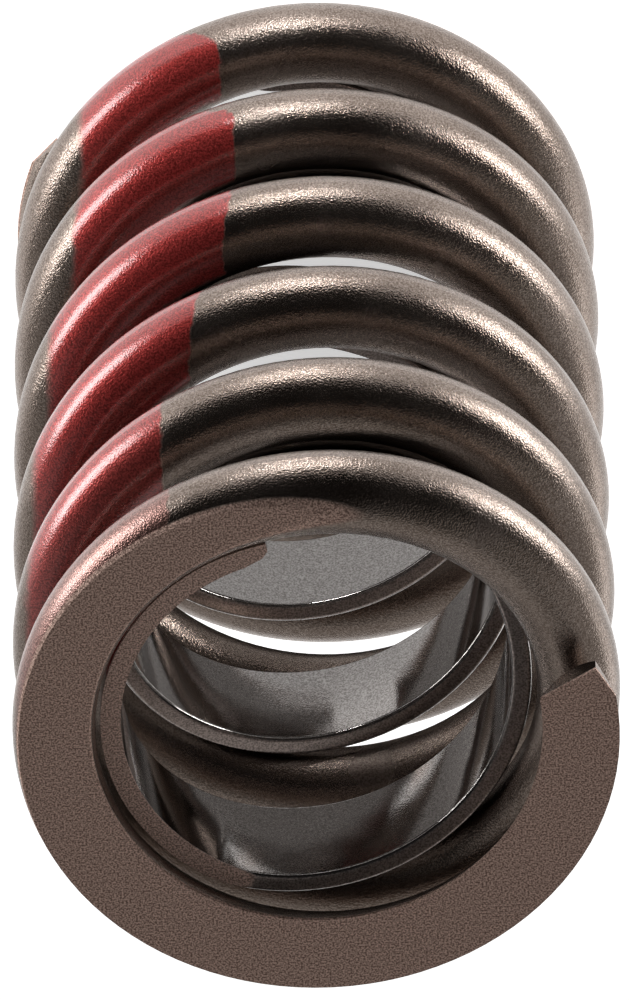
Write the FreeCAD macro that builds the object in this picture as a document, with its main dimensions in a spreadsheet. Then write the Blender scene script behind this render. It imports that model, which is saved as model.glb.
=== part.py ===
# Valve spring with a flat damper: a round-wire compression spring with closed and ground ends, and a flat
# strip of spring steel, wound the other way, that stands inside it.
# Frame: millimetres, +Z up along the spring's axis, origin at the centre of the lower ground face.

import FreeCAD, Part
import math
import os
import Sketcher

OUTER_NODE = "outer_spring"
DAMPER_NODE = "flat_damper"
UP = FreeCAD.Vector(0, 0, 1)
ALONG_X = FreeCAD.Vector(1, 0, 0)
ANY_ANGLE = 1   # a rotation by nothing would lose its axis; the formula tied to it sets the true angle

# Driving dimensions, in millimetres, degrees and turns
SIZES = {
    "free_length": 49.8,             # over both ground faces, unloaded
    "outside_diameter": 31.85,       # over the round wire
    "wire_diameter": 4.35,
    "coil_turns": 6.619,             # from tip to tip
    "closed_turns": 0.725,           # of each end coil, from its tip to where it starts to open
    "blend_turns": 0.15,             # over which the closed rise opens out to the working pitch
    "tip_gap": 0.59,                 # between each tip and the coil beside it
    "tip_thickness": 1.175,          # what grinding leaves of the wire at each tip
    "tip_skew": 16.0,                # of the sheared tip face, out of the plane through the axis
    "tip_bevel": 0.9,                # by which a flat outside each tip thins the wire
    "tip_bevel_angle": 15.3,
    "upper_tip_angle": 195.5,        # from +X
    "damper_length": 48.3,           # over the strip's ground ends
    "damper_clearance": 0.25,        # radial play inside the round wire
    "strip_thickness": 1.06,
    "strip_width": 6.48,             # square to the strip's run
    "strip_edge_radius": 0.22,
    "damper_pitch": 13.0,
    "damper_tip_width": 1.42,        # what grinding leaves of the strip at each tip
    "damper_upper_tip_angle": 282.5,
    "bevel_depth": 0.35,             # by which a flat inside each tip thins the strip
    "bevel_angle": 18.0,
    "tip_chamfer": 0.35,             # at 45 degrees, where that flat meets the strip's end
}

# Sizes that follow from the driving ones
DERIVED = {
    "wire_radius": "=wire_diameter / 2",
    "outside_radius": "=outside_diameter / 2",
    "mean_radius": "=outside_radius - wire_radius",
    "tip_overshoot": "=wire_radius - tip_thickness",
    "tip_cut_height": "=tip_thickness + tip_gap / 2",
    "tip_step": "=wire_diameter + tip_gap",
    "unground_length": "=free_length + 2 * tip_overshoot",
    "end_turns": "=closed_turns + blend_turns / 2",
    "open_turns": "=coil_turns - 2 * end_turns",
    "opened_share": "=(1 - end_turns) / open_turns",
    "closed_rise": "=(tip_step - opened_share * unground_length) / (end_turns * (1 - 2 * opened_share))",
    "working_pitch": "=(unground_length - 2 * closed_rise * end_turns) / open_turns",
    "closed_lead_angle": "=atan(closed_rise / (2 * pi * mean_radius))",
    "lower_tip_angle": "=upper_tip_angle - 360 * coil_turns",
    "damper_outer_radius": "=outside_radius - wire_diameter - damper_clearance",
    "damper_inner_radius": "=damper_outer_radius - strip_thickness",
    "strip_lead_angle": "=atan(damper_pitch / (pi * (damper_outer_radius + damper_inner_radius)))",
    "strip_height": "=strip_width / cos(strip_lead_angle)",
    "damper_turns": "=(damper_length + strip_height - 2 * damper_tip_width) / damper_pitch",
    "bevel_height": "=damper_tip_width + (damper_pitch - strip_height) / 2",
    "damper_lower_tip_angle": "=damper_upper_tip_angle + 360 * damper_turns",
}


def fill_sheet(doc):
    """The spreadsheet that holds every size, one to a row, each with its alias."""
    sheet = doc.addObject("Spreadsheet::Sheet", "sizes")
    for row, (name, value) in enumerate({**SIZES, **DERIVED}.items(), start=1):
        sheet.set(f"A{row}", name)
        sheet.set(f"B{row}", str(value))
        sheet.setAlias(f"B{row}", name)
    doc.recompute()
    return sheet


def bind(thing, **formulas):
    """Tie properties of an object to the sheet; a double underscore in a name stands for a dot."""
    for prop, formula in formulas.items():
        thing.setExpression(prop.replace("__", "."), formula)


def turn_about_axis(thing, formula):
    """Stand an object on the spring's axis, turned about it by a formula's angle."""
    thing.Placement = FreeCAD.Placement(FreeCAD.Vector(), FreeCAD.Rotation(UP, ANY_ANGLE))
    bind(thing, Placement__Rotation__Angle=formula)


def coil_centreline(doc, sheet):
    """Centre of the round wire: straight runs and parabolic blends of the unrolled cylinder it lies on."""
    surface = Part.Cylinder()
    surface.Radius = sheet.mean_radius
    runs = [
        (sheet.closed_turns, sheet.closed_rise, sheet.closed_rise),
        (sheet.blend_turns, sheet.closed_rise, sheet.working_pitch),
        (sheet.open_turns - sheet.blend_turns, sheet.working_pitch, sheet.working_pitch),
        (sheet.blend_turns, sheet.working_pitch, sheet.closed_rise),
        (sheet.closed_turns, sheet.closed_rise, sheet.closed_rise),
    ]
    edges = []
    start = FreeCAD.Base.Vector2d(0, -sheet.tip_overshoot)
    for turns, first_rise, last_rise in runs:
        half = turns / 2
        middle = FreeCAD.Base.Vector2d(start.x + 2 * math.pi * half, start.y + first_rise * half)
        end = FreeCAD.Base.Vector2d(middle.x + 2 * math.pi * half, middle.y + last_rise * half)
        run = Part.Geom2d.BezierCurve2d()
        run.setPoles([start, middle, end])
        edges.append(run.toShape(surface))
        start = end
    path = doc.addObject("Part::Feature", "coil_centreline")
    path.Shape = Part.Wire(edges)
    return path


def origin_plane(body, role):
    """One of a body's own origin planes, found by its role."""
    return next(feature for feature in body.Origin.OriginFeatures if feature.Role == role)


def sketch_on(body, role, name):
    """An empty sketch on one of the body's origin planes."""
    sketch = body.newObject("Sketcher::SketchObject", name)
    sketch.AttachmentSupport = (origin_plane(body, role), [""])
    sketch.MapMode = "FlatFace"
    return sketch


def limit(sketch, formula, kind, *places):
    """Add a dimension to a sketch and tie it to the sheet."""
    value = sketch.evalExpression(formula)
    number = sketch.addConstraint(Sketcher.Constraint(kind, *places, value))
    sketch.setExpression(f"Constraints[{number}]", formula)


def tip_outline(sketch, side, corners):
    """Close an outline through corners near a tip, each given by two formulas.

    The first is its distance from the axis and the second its distance from the tip, counted positive towards
    the side of the sketch's X axis on which the wound metal lies.
    """
    places = [FreeCAD.Vector(sketch.evalExpression(out), side * sketch.evalExpression(along), 0)
              for out, along in corners]
    count = len(places)
    for number, place in enumerate(places):
        sketch.addGeometry(Part.LineSegment(place, places[(number + 1) % count]))
    for number in range(count):
        sketch.addConstraint(Sketcher.Constraint("Coincident", number, 2, (number + 1) % count, 1))
    for number, (out, along) in enumerate(corners):
        limit(sketch, out, "DistanceX", -1, 1, number, 1)
        if places[number].y > 0:
            limit(sketch, f"{side} * ({along})", "DistanceY", -1, 1, number, 1)
        else:
            limit(sketch, f"{-side} * ({along})", "DistanceY", number, 1, -1, 1)


def wire_tip_cutter(doc, name, side, height, turned):
    """Prism that shears the round wire's tip askew and takes a flat off its outside."""
    sketch = doc.addObject("Sketcher::SketchObject", name + "_sketch")
    shear = ("sizes.outside_radius - sizes.tip_bevel", "sizes.tip_bevel * tan(sizes.tip_skew)")
    inside = "sizes.mean_radius - sizes.wire_diameter"
    outside = "sizes.outside_radius + sizes.tip_bevel"
    tip_outline(sketch, side, [
        (inside, f"(sizes.outside_radius - ({inside})) * tan(sizes.tip_skew)"),
        shear,
        (outside, f"{shear[1]} + 2 * sizes.tip_bevel / tan(sizes.tip_bevel_angle)"),
        (outside, "-sizes.tip_bevel"),
        (inside, "-sizes.tip_bevel"),
    ])
    turn_about_axis(sketch, turned)
    bind(sketch, Placement__Base__z=height)

    prism = doc.addObject("Part::Extrusion", name)
    prism.Base = sketch
    prism.DirMode = "Custom"
    prism.Dir = UP
    prism.Solid = True
    bind(prism, LengthFwd="sizes.tip_cut_height")
    return prism


def outer_spring(doc, sheet):
    """The round wire swept along its centreline, ground flat at both ends and sheared at both tips."""
    path = coil_centreline(doc, sheet)

    section = doc.addObject("Part::Circle", "wire_section")
    section.Placement = FreeCAD.Placement(FreeCAD.Vector(), FreeCAD.Rotation(ALONG_X, -ANY_ANGLE))
    bind(section, Radius="sizes.wire_radius",
         Placement__Base__x="sizes.mean_radius",
         Placement__Base__z="-sizes.tip_overshoot",
         Placement__Rotation__Angle="sizes.closed_lead_angle - 90 deg")

    wire = doc.addObject("Part::Sweep", "wound_wire")
    wire.Sections = [section]
    wire.Spine = (path, [f"Edge{number + 1}" for number in range(len(path.Shape.Edges))])
    wire.Solid = True
    wire.Frenet = True

    between_wheels = doc.addObject("Part::Cylinder", "between_grinding_wheels")
    bind(between_wheels, Radius="sizes.outside_diameter", Height="sizes.free_length")

    ground = doc.addObject("Part::Common", "ground_wire")
    ground.Base = wire
    ground.Tool = between_wheels

    lower_cut = doc.addObject("Part::Cut", "lower_tip_cut")
    lower_cut.Base = ground
    lower_cut.Tool = wire_tip_cutter(doc, "lower_shear", 1, "0", "0")

    spring = doc.addObject("Part::Cut", OUTER_NODE)
    spring.Base = lower_cut
    spring.Tool = wire_tip_cutter(doc, "upper_shear", -1, "sizes.free_length - sizes.tip_cut_height",
                                  "360 * sizes.coil_turns")
    turn_about_axis(spring, "sizes.lower_tip_angle")
    return spring


def strip_section(body):
    """Section of the flat strip beside the axis: a rectangle whose corners are rounded."""
    sketch = sketch_on(body, "XZ_Plane", "strip_section")
    sizes = body.Document.getObject("sizes")
    inner, outer = sizes.damper_inner_radius, sizes.damper_outer_radius
    low, high = sizes.damper_tip_width - sizes.strip_height, sizes.damper_tip_width
    corner = sizes.strip_edge_radius
    rounding = [(outer - corner, low + corner, -1), (outer - corner, high - corner, 0),
                (inner + corner, high - corner, 1), (inner + corner, low + corner, 2)]
    arcs = []
    for centre_x, centre_y, quarter in rounding:
        circle = Part.Circle(FreeCAD.Vector(centre_x, centre_y, 0), UP, corner)
        arcs.append(Part.ArcOfCircle(circle, quarter * math.pi / 2, (quarter + 1) * math.pi / 2))
    for number, arc in enumerate(arcs):
        sketch.addGeometry(arc)
        sketch.addGeometry(Part.LineSegment(arc.EndPoint, arcs[(number + 1) % len(arcs)].StartPoint))
    count = 2 * len(arcs)
    for number in range(count):
        sketch.addConstraint(Sketcher.Constraint("Tangent", number, 2, (number + 1) % count, 1))
    for number in range(1, count, 2):
        sketch.addConstraint(Sketcher.Constraint("Vertical" if number % 4 == 1 else "Horizontal", number))
    for number in range(2, count, 2):
        sketch.addConstraint(Sketcher.Constraint("Equal", 0, number))
    limit(sketch, "sizes.strip_edge_radius", "Radius", 0)
    limit(sketch, "sizes.damper_outer_radius", "DistanceX", -1, 1, 1, 1)
    limit(sketch, "sizes.damper_inner_radius", "DistanceX", -1, 1, 5, 1)
    limit(sketch, "sizes.damper_tip_width", "DistanceY", -1, 1, 3, 1)
    limit(sketch, "sizes.strip_height", "DistanceY", 7, 1, 3, 1)
    return sketch


def thin_tip(body, name, side, height, turned, upward):
    """Pocket at a tip of the strip: a flat that thins it from the inside, and a chamfer at the end."""
    sketch = sketch_on(body, "XY_Plane", name + "_sketch")
    slope = "tan(sizes.bevel_angle)"
    inside = "sizes.damper_inner_radius - sizes.bevel_depth"
    bend = f"sizes.damper_inner_radius + sizes.bevel_depth - sizes.tip_chamfer * {slope}"
    tip_outline(sketch, side, [
        (inside, f"2 * sizes.bevel_depth / {slope}"),
        (bend, "sizes.tip_chamfer"),
        (f"{bend} + 2 * sizes.tip_chamfer", "-sizes.tip_chamfer"),
        (inside, "-sizes.tip_chamfer"),
    ])
    bind(sketch, AttachmentOffset__Base__z=height, AttachmentOffset__Rotation__Angle=turned)

    cut = body.newObject("PartDesign::Pocket", name)
    cut.Profile = sketch
    cut.Reversed = upward
    bind(cut, Length="sizes.bevel_height")
    return cut


def grind(body, name, height, upward):
    """Pocket that takes off everything beyond a ground end."""
    sketch = sketch_on(body, "XY_Plane", name + "_sketch")
    sketch.addGeometry(Part.Circle(FreeCAD.Vector(), UP, sketch.evalExpression("sizes.outside_diameter")))
    sketch.addConstraint(Sketcher.Constraint("Coincident", 0, 3, -1, 1))
    limit(sketch, "sizes.outside_diameter", "Radius", 0)
    bind(sketch, AttachmentOffset__Base__z=height)

    cut = body.newObject("PartDesign::Pocket", name)
    cut.Profile = sketch
    cut.Type = "ThroughAll"
    cut.Reversed = upward
    return cut


def flat_damper(doc):
    """The strip wound left-hand, its wide side facing the axis, its ends ground flat and its tips thinned."""
    body = doc.addObject("PartDesign::Body", DAMPER_NODE)
    section = strip_section(body)

    wound = body.newObject("PartDesign::AdditiveHelix", "wound_strip")
    wound.Profile = section
    wound.ReferenceAxis = (section, ["V_Axis"])
    wound.Mode = "pitch-turns-angle"
    wound.LeftHanded = True
    bind(wound, Pitch="sizes.damper_pitch", Turns="sizes.damper_turns")

    grind(body, "lower_end", "0", upward=False)
    grind(body, "upper_end", "sizes.damper_length", upward=True)
    thin_tip(body, "lower_tip", -1, "0", "0", upward=True)
    thin_tip(body, "upper_tip", 1, "sizes.damper_length", "-360 * sizes.damper_turns", upward=False)
    turn_about_axis(body, "sizes.damper_lower_tip_angle")
    return body


def check(doc, pieces):
    """Stop before anything is written if a feature failed or a piece is no valid solid."""
    for thing in doc.Objects:
        if "Invalid" in thing.State or "Error" in thing.State:
            raise RuntimeError(f"{thing.Label} did not build")
    for piece in pieces:
        if piece.Shape.isNull() or not piece.Shape.isValid() or len(piece.Shape.Solids) != 1:
            raise RuntimeError(f"{piece.Label} is not one valid solid")


def main():
    doc = FreeCAD.newDocument("valve_spring")
    sheet = fill_sheet(doc)
    pieces = [outer_spring(doc, sheet), flat_damper(doc)]
    doc.recompute()
    check(doc, pieces)
    os.makedirs("parts", exist_ok=True)
    for piece in pieces:
        piece.Shape.exportStep(f"parts/{piece.Label}.step")


main()
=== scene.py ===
"""Valve spring with a flat damper: finish, floor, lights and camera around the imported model."""
import math

import bpy
from mathutils import Matrix, Vector


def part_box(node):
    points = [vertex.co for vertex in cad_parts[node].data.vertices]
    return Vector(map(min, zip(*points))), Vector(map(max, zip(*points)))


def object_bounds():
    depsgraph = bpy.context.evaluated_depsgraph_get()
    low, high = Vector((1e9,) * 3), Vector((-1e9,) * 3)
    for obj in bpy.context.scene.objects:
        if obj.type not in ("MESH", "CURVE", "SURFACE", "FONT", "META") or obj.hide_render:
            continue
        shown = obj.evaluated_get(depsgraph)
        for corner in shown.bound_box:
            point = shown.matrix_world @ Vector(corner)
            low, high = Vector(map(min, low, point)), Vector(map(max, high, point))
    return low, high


MM = 0.001

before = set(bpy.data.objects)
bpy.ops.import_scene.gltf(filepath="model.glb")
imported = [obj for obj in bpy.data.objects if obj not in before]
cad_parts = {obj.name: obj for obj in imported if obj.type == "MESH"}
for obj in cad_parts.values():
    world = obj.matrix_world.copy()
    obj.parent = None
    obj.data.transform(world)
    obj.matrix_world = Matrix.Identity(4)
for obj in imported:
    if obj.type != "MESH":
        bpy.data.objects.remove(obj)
cad_low, cad_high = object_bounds()

# Camera: the photograph looks down on the upper ground face, with the picture's top towards the lower end
IMAGE_HEIGHT = 1000
FOCAL_PIXELS = 14070.6
SENSOR = 36.0
CAMERA_ELEVATION = math.radians(57.233)
CAMERA_ROLL = math.radians(180 - 1.521)
CAMERA_DISTANCE = 733.4 * MM
CAMERA_NEAR = 0.01
CAMERA_FAR = 50
AIM_SIDE = -0.161 * MM
AIM_UP = 12.34 * MM

# Floor: it glows as painted light; its glow is a painted shade inside the spring, full around it, and a
# painted falloff, weaker again, further out
FLOOR_HALF = 1.5
FLOOR_DROP = 0.05 * MM
FLOOR_GREY = (0.8, 0.8, 0.8)
FLOOR_ROUGHNESS = 0.9
PAINTED_SHADE_GLOW = 0.52
FLOOR_GLOW = 1.0
PAINTED_FALLOFF_GLOW = 0.5
SHADED_RADIUS = 8 * MM
BRIGHT_RADIUS = 45 * MM
OUTER_RADIUS = 70 * MM

# World: a dark room with a wall, which fades in from the first to the second value of the direction's Y and Z
WORLD_FRONT = (0.016, 0.015, 0.015)
WORLD_BEHIND = (0.5, 0.49, 0.48)
WALL_SPANS = (("Y", -0.3, 0.3), ("Z", 1.0, 0.6))

# Lamps: azimuth in degrees, then distance, width and height in millimetres, and radiance
PANELS = (
    ("panel_left", -157, 120, 64, 24, 14.5),
    ("panel_right", -24, 120, 70, 34, 10),
    ("panel_near", -88, 100, 42, 6, 36),
    ("panel_behind", 150, 110, 80, 34, 1.7),
)
FILL_HEIGHT = 400 * MM
FILL_SIDE = 200 * MM
FILL_RADIANCE = 0.65

# Sizes of the wire and of the matte skin that runs down beside its ground faces
WIRE_RADIUS = 2.175 * MM
MEAN_RADIUS = cad_high.x - WIRE_RADIUS
BURNISHED_DEPTH = 0.24 * MM
PLAIN_DEPTH = 0.12 * MM

# Colours, from the dark of each grain to the light
STEEL_DARK = (0.155, 0.118, 0.097)
STEEL_LIGHT = (0.33, 0.274, 0.24)
GROUND_DARK = (0.20, 0.125, 0.10)
GROUND_LIGHT = (0.78, 0.55, 0.46)
STRIP_DARK = (0.20, 0.185, 0.175)
STRIP_LIGHT = (0.44, 0.42, 0.41)
PAINT_DARK = (0.165, 0.014, 0.012)
PAINT_LIGHT = (0.43, 0.046, 0.041)

# Grain: sizes of the noises, and the stretch of each over which the colour goes from dark to light
GRAIN_SIZE = 0.1 * MM
CLOUD_SIZE = 5 * MM
WAVE_SIZE = 3 * MM
MIDDLE_SPAN = (0.3, 0.7)
STEEL_SPAN = (0.4, 0.9)
STRIP_SPAN = (0.25, 0.75)
CLOUD_SHARE = 0.3

# Gloss of the steel, its ground faces, the strip and the paint
CLOUD_ROUGHNESS = (0.22, 0.28)
GROUND_ROUGHNESS = 0.8
STRIP_ROUGHNESS = 0.07
PAINT_ROUGHNESS = 0.42
PAINT_METALLIC = 0.6
SPECULAR_LEVEL = 0.1
COAT_ROUGHNESS = 0.17
COAT_IOR = 1.7
EDGE_MATTE = 0.3
EDGE_SPAN = (0.75, 0.95)

# Relief: strength and distance of each bump
PEENED_BUMP = (1.0, 0.03 * MM)
COAT_BUMP = (0.6, 0.02 * MM)
STRIP_GRAIN_BUMP = (0.3, 0.005 * MM)
STRIP_WAVE_BUMP = (0.3, 0.05 * MM)

# Paint stripe, in rows of height, right edge and left edge as distances along X, the width worn off its outer
# corner (all in millimetres), and how well it covers there
STRIPE = (
    (3.0, 4.5, 12.0, 2.5, 1.0),
    (12.0, 3.6, 12.0, 1.8, 1.0),
    (21.0, 3.9, 13.5, 0.0, 1.0),
    (30.5, 5.8, 14.6, 0.0, 1.0),
    (39.5, 7.8, 14.8, 0.0, 1.0),
    (43.5, 7.7, 15.2, 0.0, 0.85),
    (47.0, 7.4, 15.6, 0.0, 0.3),
)
STRIPE_TOP = 20
WOBBLE_SIZE = 0.8 * MM
WOBBLE_WIDTH = 0.5 * MM
RIGHT_SPAN = (-0.1, 0.1)
LEFT_SPAN = (-0.3, 0.3)

# The paint ends at a radius that depends on how far the surface faces up, so that it stays on the outside
REACH_FACING = (-0.5, 0.2)
REACH_RADIUS = (MEAN_RADIUS + 0.8 * MM, MEAN_RADIUS - 1.2 * MM)
REACH_SPAN = (-0.3 * MM, 0.3 * MM)

# Worn corner: its line leans with the facing, and noise of this size makes it ragged
WORN_SLOPE = 2.3
WORN_FACING = -0.44
WORN_SIZE = MM
WORN_SPAN = (0.3, 0.6)


def make_camera(top):
    """Camera that looks along +Y and down, turned over like the photograph, aimed past the top's centre."""
    forward = Vector((0, math.cos(CAMERA_ELEVATION), -math.sin(CAMERA_ELEVATION)))
    right = Vector((1, 0, 0))
    turn = Matrix.Rotation(-CAMERA_ROLL, 3, forward)
    up = turn @ right.cross(forward)
    right = turn @ right
    eye = Vector((0, 0, top)) - forward * CAMERA_DISTANCE + right * AIM_SIDE + up * AIM_UP
    data = bpy.data.cameras.new("camera")
    data.sensor_width = SENSOR
    data.lens = FOCAL_PIXELS * SENSOR / IMAGE_HEIGHT
    data.clip_start = CAMERA_NEAR
    data.clip_end = CAMERA_FAR
    camera = bpy.data.objects.new("camera", data)
    bpy.context.collection.objects.link(camera)
    axes = Matrix((right, up, -forward)).transposed()
    camera.matrix_world = Matrix.Translation(eye) @ axes.to_4x4()
    bpy.context.scene.camera = camera


def make_floor(height):
    """Wide pale floor that glows as painted light, so that it is white between the coils too, with a painted
    shade inside them and a painted falloff further out.
    """
    mesh = bpy.data.meshes.new("floor")
    signs = ((-1, -1), (1, -1), (1, 1), (-1, 1))
    corners = [(x * FLOOR_HALF, y * FLOOR_HALF, height) for x, y in signs]
    mesh.from_pydata(corners, [], [(0, 1, 2, 3)])
    floor = bpy.data.objects.new("floor", mesh)
    bpy.context.collection.objects.link(floor)
    shader = Shader("floor")
    shader.surface["Base Color"].default_value = (*FLOOR_GREY, 1)
    shader.surface["Roughness"].default_value = FLOOR_ROUGHNESS
    shader.surface["Specular IOR Level"].default_value = 0
    shader.surface["Emission Color"].default_value = (1, 1, 1, 1)
    # painted shade: the glow drops inside the spring's footprint; painted falloff: it drops again further out
    inner = shader.span(shader.radius, (SHADED_RADIUS, cad_high.x), (PAINTED_SHADE_GLOW, FLOOR_GLOW))
    glow = shader.blend(shader.span(shader.radius, (BRIGHT_RADIUS, OUTER_RADIUS)), inner, PAINTED_FALLOFF_GLOW)
    shader.feed(shader.surface["Emission Strength"], glow)
    mesh.materials.append(shader.material)


def make_world():
    """Dark room with a soft grey wall behind the spring, which ends below the zenith."""
    world = bpy.data.worlds.new("studio")
    world.use_nodes = True
    nodes = Nodes(world.node_tree)
    direction = nodes.node("ShaderNodeTexCoord").outputs["Generated"]
    axes = nodes.node("ShaderNodeSeparateXYZ", direction).outputs
    wall = nodes.math("MULTIPLY", *(nodes.span(axes[axis], (start, end)) for axis, start, end in WALL_SPANS))
    background = world.node_tree.nodes["Background"].inputs["Color"]
    nodes.feed(background, nodes.mix(wall, WORLD_FRONT, WORLD_BEHIND))
    bpy.context.scene.world = world


def make_lamp(name, place, facing, width, height, radiance):
    """Soft rectangular lamp of a given radiance that shines against its facing direction; sizes in metres."""
    data = bpy.data.lights.new(name, "AREA")
    data.shape = "RECTANGLE"
    data.size = width
    data.size_y = height
    data.energy = radiance * math.pi * width * height
    lamp = bpy.data.objects.new(name, data)
    bpy.context.collection.objects.link(lamp)
    lamp.matrix_world = Matrix.Translation(place) @ facing.to_track_quat("Z", "Y").to_matrix().to_4x4()
    lamp.visible_camera = False
    return lamp


def make_panel(name, azimuth, distance, width, height, radiance):
    """Upright lamp panel on the floor beside the spring, facing its axis; sizes in millimetres."""
    turn = math.radians(azimuth)
    facing = Vector((math.cos(turn), math.sin(turn), 0))
    place = facing * distance * MM + Vector((0, 0, height * MM / 2))
    make_lamp(name, place, facing, width * MM, height * MM, radiance)


def make_fill():
    """Weak lamp overhead, for the matte faces only: it leaves no highlight."""
    above = Vector((0, 0, 1))
    lamp = make_lamp("fill", above * FILL_HEIGHT, above, FILL_SIDE, FILL_SIDE, FILL_RADIANCE)
    lamp.visible_glossy = False


class Nodes:
    """Short ways to add and join the nodes of a tree."""

    def __init__(self, tree):
        self.tree = tree

    def feed(self, socket, value):
        """Link a socket, or set it to a constant."""
        if hasattr(value, "is_linked"):
            self.tree.links.new(value, socket)
        else:
            socket.default_value = value

    def node(self, kind, *values):
        """Add a node and feed its first inputs."""
        node = self.tree.nodes.new(kind)
        for socket, value in zip(node.inputs, values):
            self.feed(socket, value)
        return node

    def math(self, operation, *values):
        """Join numbers with one operation."""
        node = self.node("ShaderNodeMath", *values)
        node.operation = operation
        return node.outputs[0]

    def multiply(self, first, *others):
        """Product of two or more numbers."""
        for other in others:
            first = self.math("MULTIPLY", first, other)
        return first

    def span(self, value, ends, results=(0.0, 1.0)):
        """Go smoothly from one result to the other while the value goes from one end to the other."""
        node = self.node("ShaderNodeMapRange", value, *ends, *results)
        node.interpolation_type = "SMOOTHSTEP"
        return node.outputs[0]

    def mix(self, share, first, second):
        """Blend two colours, each a constant or a socket."""
        node = self.node("ShaderNodeMix", share)
        node.data_type = "RGBA"
        sockets = [entry for entry in node.inputs if entry.type == "RGBA"]
        for socket, value in zip(sockets, (first, second)):
            self.feed(socket, value if hasattr(value, "is_linked") else (*value, 1))
        return next(entry for entry in node.outputs if entry.type == "RGBA")

    def blend(self, share, first, second):
        """Blend two numbers, each a constant or a socket."""
        node = self.node("ShaderNodeMix", share)
        self.feed(node.inputs["A"], first)
        self.feed(node.inputs["B"], second)
        return node.outputs[0]


class Shader(Nodes):
    """A material, with the place on the object and the textures and relief that its finish is made from."""

    def __init__(self, name):
        self.material = bpy.data.materials.new(name)
        self.material.use_nodes = True
        super().__init__(self.material.node_tree)
        self.surface = self.tree.nodes["Principled BSDF"].inputs
        coordinates = self.node("ShaderNodeTexCoord").outputs
        self.place = coordinates["Object"]
        self.facing = self.node("ShaderNodeSeparateXYZ", coordinates["Normal"]).outputs["Z"]
        self.x, self.y, self.z = self.node("ShaderNodeSeparateXYZ", self.place).outputs
        flat = self.node("ShaderNodeCombineXYZ", self.x, self.y).outputs[0]
        length = self.node("ShaderNodeVectorMath", flat)
        length.operation = "LENGTH"
        self.radius = length.outputs["Value"]

    def noise(self, grain, detail=2.0):
        """Noise whose grains have about the given size in metres."""
        node = self.node("ShaderNodeTexNoise", self.place)
        node.inputs["Scale"].default_value = 1 / grain
        node.inputs["Detail"].default_value = detail
        return node.outputs["Fac"]

    def ramp(self, value, rows, top):
        """Broken line through rows of height in millimetres and number, for numbers up to top."""
        node = self.node("ShaderNodeValToRGB", self.math("DIVIDE", value, cad_high.z))
        elements = node.color_ramp.elements
        while len(elements) < len(rows):
            elements.new(0.5)
        for element, (height, number) in zip(elements, rows):
            element.position = height * MM / cad_high.z
            element.color = (number / top, number / top, number / top, 1)
        return self.math("MULTIPLY", node.outputs["Color"], top)

    def bump(self, height, relief, below=None):
        """Relief of a given strength and distance, over another one if given."""
        node = self.node("ShaderNodeBump")
        node.inputs["Strength"].default_value, node.inputs["Distance"].default_value = relief
        self.feed(node.inputs["Height"], height)
        if below is not None:
            self.feed(node.inputs["Normal"], below)
        return node.outputs[0]

    def ground_share(self, high):
        """One on the two ground faces, at the floor and at the given height, and on the skin beside them."""
        upper = self.span(self.z, (high - BURNISHED_DEPTH, high - PLAIN_DEPTH))
        lower = self.span(self.z, (BURNISHED_DEPTH, PLAIN_DEPTH))
        return self.math("MAXIMUM", upper, lower)

    def ground_colour(self, grain):
        """Matte bronze-brown of the ground faces."""
        return self.mix(self.span(grain, MIDDLE_SPAN), GROUND_DARK, GROUND_LIGHT)


def stripe_share(shader):
    """How far the red paint covers: a band on the outside of the coils, worn at its right edge."""
    wobble = shader.math("MULTIPLY", shader.math("SUBTRACT", shader.noise(WOBBLE_SIZE), 0.5), WOBBLE_WIDTH)
    right_edge, left_edge, worn, cover = (
        shader.ramp(shader.z, [(row[0], row[column]) for row in STRIPE], top)
        for column, top in ((1, STRIPE_TOP), (2, STRIPE_TOP), (3, STRIPE_TOP), (4, 1)))
    x = shader.math("DIVIDE", shader.math("ADD", shader.x, wobble), MM)
    past_right = shader.math("SUBTRACT", x, right_edge)
    right = shader.span(past_right, RIGHT_SPAN)
    left = shader.span(shader.math("SUBTRACT", left_edge, x), LEFT_SPAN)
    reach = shader.span(shader.facing, REACH_FACING, REACH_RADIUS)
    radius = shader.math("ADD", shader.radius, wobble)
    outside = shader.span(shader.math("SUBTRACT", radius, reach), REACH_SPAN)
    side = shader.math("LESS_THAN", shader.y, 0.0)
    lean = shader.math("MULTIPLY", shader.math("SUBTRACT", shader.facing, WORN_FACING), WORN_SLOPE)
    corner = shader.math("ADD", past_right, shader.math("ADD", lean, shader.noise(WORN_SIZE)))
    kept = shader.span(shader.math("SUBTRACT", corner, worn), WORN_SPAN)
    return shader.multiply(right, left, outside, side, kept, cover)


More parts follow.
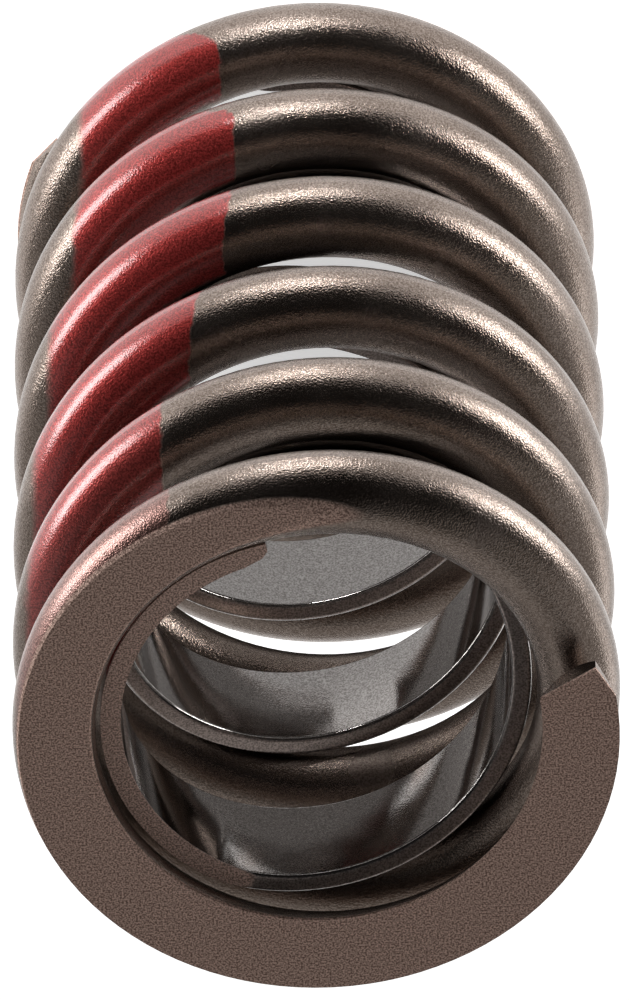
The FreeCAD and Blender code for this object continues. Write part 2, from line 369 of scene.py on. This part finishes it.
def peened_steel():
    """Bronze-brown peened wire with matte ground faces and the paint stripe."""
    shader = Shader("peened_steel")
    surface = shader.surface
    grain = shader.noise(GRAIN_SIZE, 1)
    cloud = shader.noise(CLOUD_SIZE)
    clouded = shader.math("ADD", grain, shader.math("MULTIPLY", cloud, CLOUD_SHARE))
    steel = shader.mix(shader.span(clouded, STEEL_SPAN), STEEL_DARK, STEEL_LIGHT)
    red = shader.mix(shader.span(grain, MIDDLE_SPAN), PAINT_DARK, PAINT_LIGHT)
    ground = shader.ground_share(cad_high.z)
    paint = shader.math("MULTIPLY", stripe_share(shader), shader.math("SUBTRACT", 1.0, ground))
    bare = shader.mix(ground, steel, shader.ground_colour(grain))
    shader.feed(surface["Base Color"], shader.mix(paint, bare, red))
    shader.feed(surface["Metallic"], shader.blend(paint, shader.blend(ground, 1.0, 0.0), PAINT_METALLIC))
    rough = shader.blend(ground, shader.span(cloud, MIDDLE_SPAN, CLOUD_ROUGHNESS), GROUND_ROUGHNESS)
    shader.feed(surface["Roughness"], shader.blend(paint, rough, PAINT_ROUGHNESS))
    surface["Specular IOR Level"].default_value = SPECULAR_LEVEL
    shader.feed(surface["Coat Weight"], paint)
    surface["Coat Roughness"].default_value = COAT_ROUGHNESS
    surface["Coat IOR"].default_value = COAT_IOR
    shader.feed(surface["Normal"], shader.bump(grain, PEENED_BUMP))
    shader.feed(surface["Coat Normal"], shader.bump(grain, COAT_BUMP))
    return shader.material


def strip_steel():
    """Smooth rolled strip with matte ground ends and duller edges."""
    shader = Shader("strip_steel")
    surface = shader.surface
    grain = shader.noise(GRAIN_SIZE, 1)
    waves = shader.noise(WAVE_SIZE, 1)
    edges = shader.span(shader.math("ABSOLUTE", shader.facing), EDGE_SPAN, (0.0, EDGE_MATTE))
    ground = shader.math("MAXIMUM", shader.ground_share(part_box("flat_damper")[1].z), edges)
    strip = shader.mix(shader.span(grain, STRIP_SPAN), STRIP_DARK, STRIP_LIGHT)
    shader.feed(surface["Base Color"], shader.mix(ground, strip, shader.ground_colour(grain)))
    shader.feed(surface["Metallic"], shader.blend(ground, 1.0, 0.0))
    shader.feed(surface["Roughness"], shader.blend(ground, STRIP_ROUGHNESS, GROUND_ROUGHNESS))
    fine = shader.bump(grain, STRIP_GRAIN_BUMP)
    shader.feed(surface["Normal"], shader.bump(waves, STRIP_WAVE_BUMP, fine))
    return shader.material


def dress(node, material):
    """Give a CAD node its finish."""
    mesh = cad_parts[node].data
    mesh.materials.clear()
    mesh.materials.append(material)


dress("outer_spring", peened_steel())
dress("flat_damper", strip_steel())

make_world()
make_floor(cad_low.z - FLOOR_DROP)
for panel in PANELS:
    make_panel(*panel)
make_fill()
make_camera(cad_high.z)
bpy.context.scene.view_settings.view_transform = "Standard"
